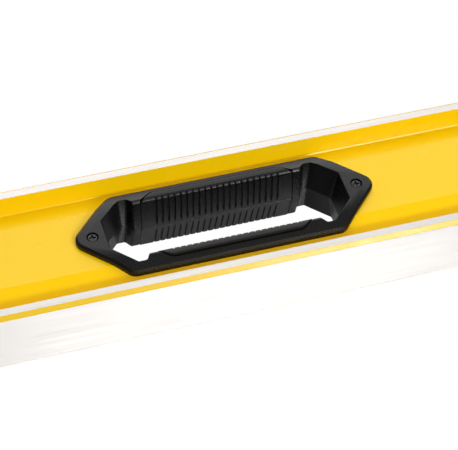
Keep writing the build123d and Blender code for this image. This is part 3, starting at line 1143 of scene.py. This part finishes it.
def build_camera(target):
    """Camera below and left of the hand-hold, looking up along the beam, rolled."""
    studio = bpy.context.scene.level_studio
    azimuth, elevation = math.radians(studio.azimuth), math.radians(studio.elevation)
    forward = Vector((
        math.sin(azimuth) * math.cos(elevation),
        math.cos(azimuth) * math.cos(elevation),
        -math.sin(elevation),
    ))
    level_right = Vector((math.cos(azimuth), -math.sin(azimuth), 0.0))
    level_up = level_right.cross(forward)
    roll = math.radians(studio.roll)
    right = level_right * math.cos(roll) - level_up * math.sin(roll)
    up = level_right * math.sin(roll) + level_up * math.cos(roll)
    bpy.ops.object.camera_add(location=target - forward * studio.distance)
    camera = bpy.context.object
    camera.rotation_euler = Matrix((right, up, -forward)).transposed().to_euler()
    camera.data.lens = studio.focal
    camera.data.clip_start = 10 * MM
    bpy.context.scene.camera = camera


def build_stage():
    """Pale floor well below the camera, white surroundings, soft lights and the camera."""
    studio = bpy.context.scene.level_studio
    fresh()
    target = Vector((HANDHOLD_X - studio.target_x, -HALF_DEPTH, studio.target_z))
    bpy.ops.mesh.primitive_plane_add(size=FLOOR_SIZE, location=(0.0, 0.0, -studio.floor_drop))
    floor = bpy.context.object
    floor.name = "studio_floor"
    # It sends out a little light, so that it stays pale where the lights don't reach.
    paint, tree, shader = finish_of(
        "matt floor paint", colours().floor, Roughness=0.8,
        Emission_Color=(*colours().floor, 1.0), Emission_Strength=0.5,
    )
    relief(tree, shader, noise(tree, 8.0 * MM), 0.05 * MM)
    floor.data.materials.append(paint)
    floor.visible_glossy = floor.visible_diffuse = False
    build_camera(target)
    for name, offset, size, watts in SOFTBOXES:
        light = softbox(name, offset, target, size, watts * studio.power)
        # The fill lights the rear without showing in the bores as a reflection.
        light.visible_glossy = name != "rear fill"
    build_room()


def build_room():
    """White surroundings, dimmer from below."""
    studio = bpy.context.scene.level_studio
    white = (1.0, 1.0, 1.0, 1.0)
    world = bpy.data.worlds.new("studio")
    bpy.context.scene.world = world
    world.use_nodes = True
    tree = world.node_tree
    tree.nodes.clear()
    path = add_node(tree, "ShaderNodeLightPath")
    direction = add_node(tree, "ShaderNodeTexCoord")
    upward = add_node(tree, "ShaderNodeSeparateXYZ", links={"Vector": (direction, "Generated")})
    # Less light comes from straight below than from the sides and above.
    from_below = 0.2 * studio.world
    strength = add_node(
        tree, "ShaderNodeMapRange",
        {"From Min": -0.8, "From Max": 0.2, "To Min": from_below, "To Max": studio.world},
        {"Value": (upward, "Z")},
    )
    lit = add_node(
        tree, "ShaderNodeBackground", {"Color": white}, {"Strength": (strength, "Result")}
    )
    seen = add_node(tree, "ShaderNodeBackground", {"Color": white, "Strength": 1.0})
    mix = add_node(
        tree, "ShaderNodeMixShader",
        links={0: (path, "Is Camera Ray"), 1: (lit, "Background"), 2: (seen, "Background")},
    )
    add_node(tree, "ShaderNodeOutputWorld", links={"Surface": (mix, "Shader")})
    bpy.context.scene.view_settings.view_transform = "Standard"


# ---- Operators and panel ------------------------------------------------------------------

class LEVEL_OT_beam(bpy.types.Operator):
    """Build the coated extrusion with its milled faces"""

    bl_idname = "level.beam"
    bl_label = "Beam"

    def execute(self, context):
        build_beam()
        return {"FINISHED"}


class LEVEL_OT_handholds(bpy.types.Operator):
    """Build both hand-holds with their soft inlays"""

    bl_idname = "level.handholds"
    bl_label = "Hand-Holds"

    def execute(self, context):
        build_handholds()
        return {"FINISHED"}


class LEVEL_OT_centre_vial(bpy.types.Operator):
    """Build the centre vial module"""

    bl_idname = "level.centre_vial"
    bl_label = "Centre Vial"

    def execute(self, context):
        build_centre_vial()
        return {"FINISHED"}


class LEVEL_OT_plumb_vials(bpy.types.Operator):
    """Build both plumb vial modules"""

    bl_idname = "level.plumb_vials"
    bl_label = "Plumb Vials"

    def execute(self, context):
        build_plumb_vials()
        return {"FINISHED"}


class LEVEL_OT_end_caps(bpy.types.Operator):
    """Build the end caps and their rubber pads"""

    bl_idname = "level.end_caps"
    bl_label = "End Caps"

    def execute(self, context):
        build_end_caps()
        return {"FINISHED"}


class LEVEL_OT_stage(bpy.types.Operator):
    """Set up the floor, the lights and the camera"""

    bl_idname = "level.stage"
    bl_label = "Studio"

    def execute(self, context):
        build_stage()
        return {"FINISHED"}


OPERATORS = (
    LEVEL_OT_beam,
    LEVEL_OT_handholds,
    LEVEL_OT_centre_vial,
    LEVEL_OT_plumb_vials,
    LEVEL_OT_end_caps,
    LEVEL_OT_stage,
)


class LEVEL_PT_build(bpy.types.Panel):
    """Lists the level's pieces"""

    bl_idname = "LEVEL_PT_build"
    bl_label = "Spirit Level"
    bl_space_type = "VIEW_3D"
    bl_region_type = "UI"
    bl_category = "Level"

    def draw(self, context):
        for operator in OPERATORS:
            self.layout.operator(operator.bl_idname)


GROUPS = (
    ("level_sizes", LevelSizes),
    ("level_colours", LevelColours),
    ("level_studio", StudioSettings),
)


def register():
    """Adds the settings, the operators and the panel."""
    for name, group in GROUPS:
        bpy.utils.register_class(group)
        setattr(bpy.types.Scene, name, PointerProperty(type=group))
    for operator in OPERATORS:
        bpy.utils.register_class(operator)
    bpy.utils.register_class(LEVEL_PT_build)


def unregister():
    """Takes them away again."""
    bpy.utils.unregister_class(LEVEL_PT_build)
    for operator in reversed(OPERATORS):
        bpy.utils.unregister_class(operator)
    for name, group in reversed(GROUPS):
        delattr(bpy.types.Scene, name)
        bpy.utils.unregister_class(group)


def main():
    """Registers the add-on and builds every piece."""
    register()
    bpy.ops.level.beam()
    bpy.ops.level.handholds()
    bpy.ops.level.centre_vial()
    bpy.ops.level.plumb_vials()
    bpy.ops.level.end_caps()
    bpy.ops.level.stage()


if __name__ == "__main__":
    main()
